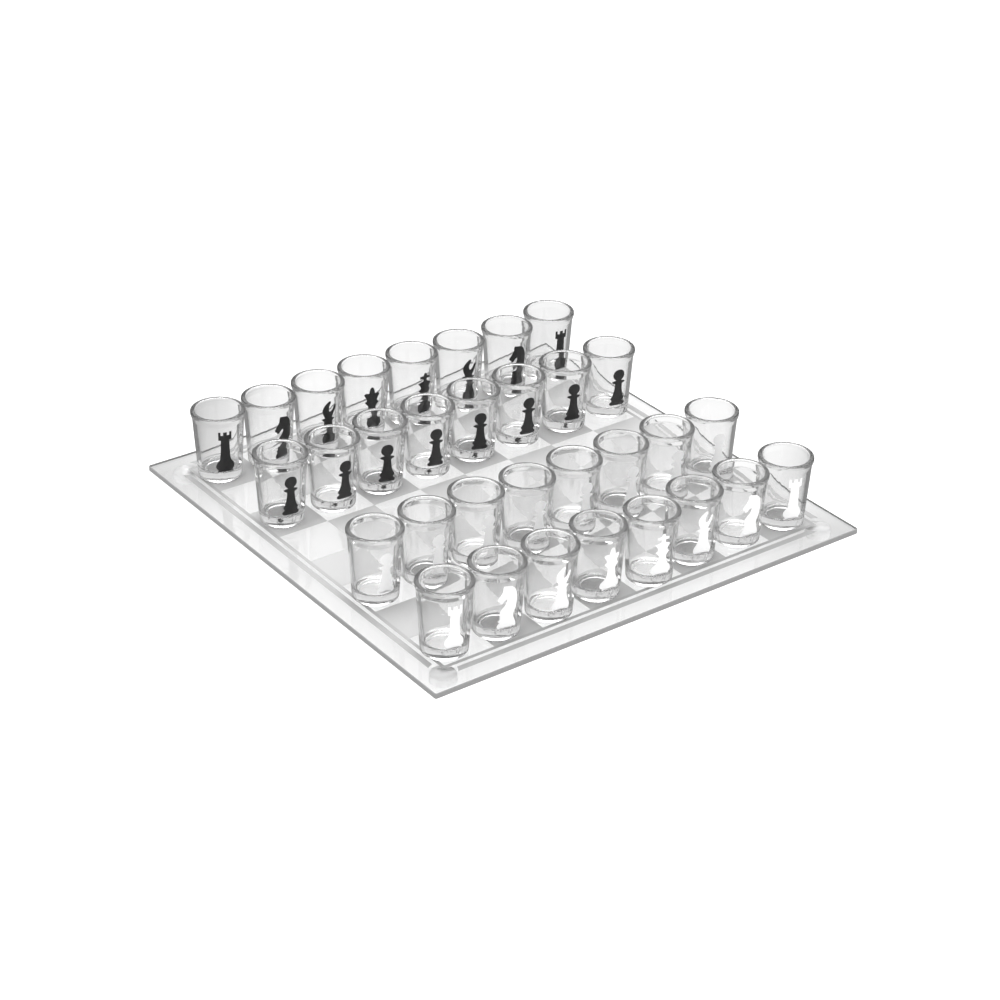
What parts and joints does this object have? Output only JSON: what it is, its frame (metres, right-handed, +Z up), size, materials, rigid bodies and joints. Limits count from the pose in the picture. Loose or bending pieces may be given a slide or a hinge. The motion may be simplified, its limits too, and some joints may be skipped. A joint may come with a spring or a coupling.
{
  "type": "drinking-glass chess set with board",
  "caption": "Square clear glass chess board with frosted squares on small round feet, set with straight-sided, flared shot glasses that serve as the chess pieces.",
  "frame": {"origin": "centre of the board's square footprint, on the table that the feet stand on", "axes": "+Z up, +X along white's front edge from file a to file h, -Y towards white's player"},
  "size_m": [0.346, 0.346, 0.0606],
  "materials": {
    "board_glass": "clear float glass, polished edges, frosted squares and border lines on the top face",
    "foot": "clear soft polyurethane bumper, satin",
    "black_print_glass": "clear pressed glass, fire-polished, one black enamel chess figure on the front",
    "white_print_glass": "clear pressed glass, fire-polished, one white enamel chess figure on the front"
  },
  "bodies": {
    "board": {"glass_board": "board_glass", "foot_front_left": "foot", "foot_front_right": "foot", "foot_back_left": "foot", "foot_back_right": "foot"},
    "black_rook_a": {"black_rook_a": "black_print_glass"},
    "black_knight_b": {"black_knight_b": "black_print_glass"},
    "black_bishop_c": {"black_bishop_c": "black_print_glass"},
    "black_queen_d": {"black_queen_d": "black_print_glass"},
    "black_king_e": {"black_king_e": "black_print_glass"},
    "black_bishop_f": {"black_bishop_f": "black_print_glass"},
    "black_knight_g": {"black_knight_g": "black_print_glass"},
    "black_rook_h": {"black_rook_h": "black_print_glass"},
    "black_pawn_a": {"black_pawn_a": "black_print_glass"},
    "black_pawn_b": {"black_pawn_b": "black_print_glass"},
    "black_pawn_c": {"black_pawn_c": "black_print_glass"},
    "black_pawn_d": {"black_pawn_d": "black_print_glass"},
    "black_pawn_e": {"black_pawn_e": "black_print_glass"},
    "black_pawn_f": {"black_pawn_f": "black_print_glass"},
    "black_pawn_g": {"black_pawn_g": "black_print_glass"},
    "black_pawn_h": {"black_pawn_h": "black_print_glass"},
    "white_pawn_a": {"white_pawn_a": "white_print_glass"},
    "white_pawn_b": {"white_pawn_b": "white_print_glass"},
    "white_pawn_c": {"white_pawn_c": "white_print_glass"},
    "white_pawn_d": {"white_pawn_d": "white_print_glass"},
    "white_pawn_e": {"white_pawn_e": "white_print_glass"},
    "white_pawn_f": {"white_pawn_f": "white_print_glass"},
    "white_pawn_g": {"white_pawn_g": "white_print_glass"},
    "white_pawn_h": {"white_pawn_h": "white_print_glass"},
    "white_rook_a": {"white_rook_a": "white_print_glass"},
    "white_knight_b": {"white_knight_b": "white_print_glass"},
    "white_bishop_c": {"white_bishop_c": "white_print_glass"},
    "white_queen_d": {"white_queen_d": "white_print_glass"},
    "white_king_e": {"white_king_e": "white_print_glass"},
    "white_bishop_f": {"white_bishop_f": "white_print_glass"},
    "white_knight_g": {"white_knight_g": "white_print_glass"},
    "white_rook_h": {"white_rook_h": "white_print_glass"}
  },
  "joints": [
    {"name": "black_rook_a_lift", "type": "slide", "parent": "board", "child": "black_rook_a", "axis": [0, 0, 1], "range_m": [0, 0.06]},
    {"name": "black_knight_b_lift", "type": "slide", "parent": "board", "child": "black_knight_b", "axis": [0, 0, 1], "range_m": [0, 0.06]},
    {"name": "black_bishop_c_lift", "type": "slide", "parent": "board", "child": "black_bishop_c", "axis": [0, 0, 1], "range_m": [0, 0.06]},
    {"name": "black_queen_d_lift", "type": "slide", "parent": "board", "child": "black_queen_d", "axis": [0, 0, 1], "range_m": [0, 0.06]},
    {"name": "black_king_e_lift", "type": "slide", "parent": "board", "child": "black_king_e", "axis": [0, 0, 1], "range_m": [0, 0.06]},
    {"name": "black_bishop_f_lift", "type": "slide", "parent": "board", "child": "black_bishop_f", "axis": [0, 0, 1], "range_m": [0, 0.06]},
    {"name": "black_knight_g_lift", "type": "slide", "parent": "board", "child": "black_knight_g", "axis": [0, 0, 1], "range_m": [0, 0.06]},
    {"name": "black_rook_h_lift", "type": "slide", "parent": "board", "child": "black_rook_h", "axis": [0, 0, 1], "range_m": [0, 0.06]},
    {"name": "black_pawn_a_lift", "type": "slide", "parent": "board", "child": "black_pawn_a", "axis": [0, 0, 1], "range_m": [0, 0.06]},
    {"name": "black_pawn_b_lift", "type": "slide", "parent": "board", "child": "black_pawn_b", "axis": [0, 0, 1], "range_m": [0, 0.06]},
    {"name": "black_pawn_c_lift", "type": "slide", "parent": "board", "child": "black_pawn_c", "axis": [0, 0, 1], "range_m": [0, 0.06]},
    {"name": "black_pawn_d_lift", "type": "slide", "parent": "board", "child": "black_pawn_d", "axis": [0, 0, 1], "range_m": [0, 0.06]},
    {"name": "black_pawn_e_lift", "type": "slide", "parent": "board", "child": "black_pawn_e", "axis": [0, 0, 1], "range_m": [0, 0.06]},
    {"name": "black_pawn_f_lift", "type": "slide", "parent": "board", "child": "black_pawn_f", "axis": [0, 0, 1], "range_m": [0, 0.06]},
    {"name": "black_pawn_g_lift", "type": "slide", "parent": "board", "child": "black_pawn_g", "axis": [0, 0, 1], "range_m": [0, 0.06]},
    {"name": "black_pawn_h_lift", "type": "slide", "parent": "board", "child": "black_pawn_h", "axis": [0, 0, 1], "range_m": [0, 0.06]},
    {"name": "white_pawn_a_lift", "type": "slide", "parent": "board", "child": "white_pawn_a", "axis": [0, 0, 1], "range_m": [0, 0.06]},
    {"name": "white_pawn_b_lift", "type": "slide", "parent": "board", "child": "white_pawn_b", "axis": [0, 0, 1], "range_m": [0, 0.06]},
    {"name": "white_pawn_c_lift", "type": "slide", "parent": "board", "child": "white_pawn_c", "axis": [0, 0, 1], "range_m": [0, 0.06]},
    {"name": "white_pawn_d_lift", "type": "slide", "parent": "board", "child": "white_pawn_d", "axis": [0, 0, 1], "range_m": [0, 0.06]},
    {"name": "white_pawn_e_lift", "type": "slide", "parent": "board", "child": "white_pawn_e", "axis": [0, 0, 1], "range_m": [0, 0.06]},
    {"name": "white_pawn_f_lift", "type": "slide", "parent": "board", "child": "white_pawn_f", "axis": [0, 0, 1], "range_m": [0, 0.06]},
    {"name": "white_pawn_g_lift", "type": "slide", "parent": "board", "child": "white_pawn_g", "axis": [0, 0, 1], "range_m": [0, 0.06]},
    {"name": "white_pawn_h_lift", "type": "slide", "parent": "board", "child": "white_pawn_h", "axis": [0, 0, 1], "range_m": [0, 0.06]},
    {"name": "white_rook_a_lift", "type": "slide", "parent": "board", "child": "white_rook_a", "axis": [0, 0, 1], "range_m": [0, 0.06]},
    {"name": "white_knight_b_lift", "type": "slide", "parent": "board", "child": "white_knight_b", "axis": [0, 0, 1], "range_m": [0, 0.06]},
    {"name": "white_bishop_c_lift", "type": "slide", "parent": "board", "child": "white_bishop_c", "axis": [0, 0, 1], "range_m": [0, 0.06]},
    {"name": "white_queen_d_lift", "type": "slide", "parent": "board", "child": "white_queen_d", "axis": [0, 0, 1], "range_m": [0, 0.06]},
    {"name": "white_king_e_lift", "type": "slide", "parent": "board", "child": "white_king_e", "axis": [0, 0, 1], "range_m": [0, 0.06]},
    {"name": "white_bishop_f_lift", "type": "slide", "parent": "board", "child": "white_bishop_f", "axis": [0, 0, 1], "range_m": [0, 0.06]},
    {"name": "white_knight_g_lift", "type": "slide", "parent": "board", "child": "white_knight_g", "axis": [0, 0, 1], "range_m": [0, 0.06]},
    {"name": "white_rook_h_lift", "type": "slide", "parent": "board", "child": "white_rook_h", "axis": [0, 0, 1], "range_m": [0, 0.06]}
  ]
}
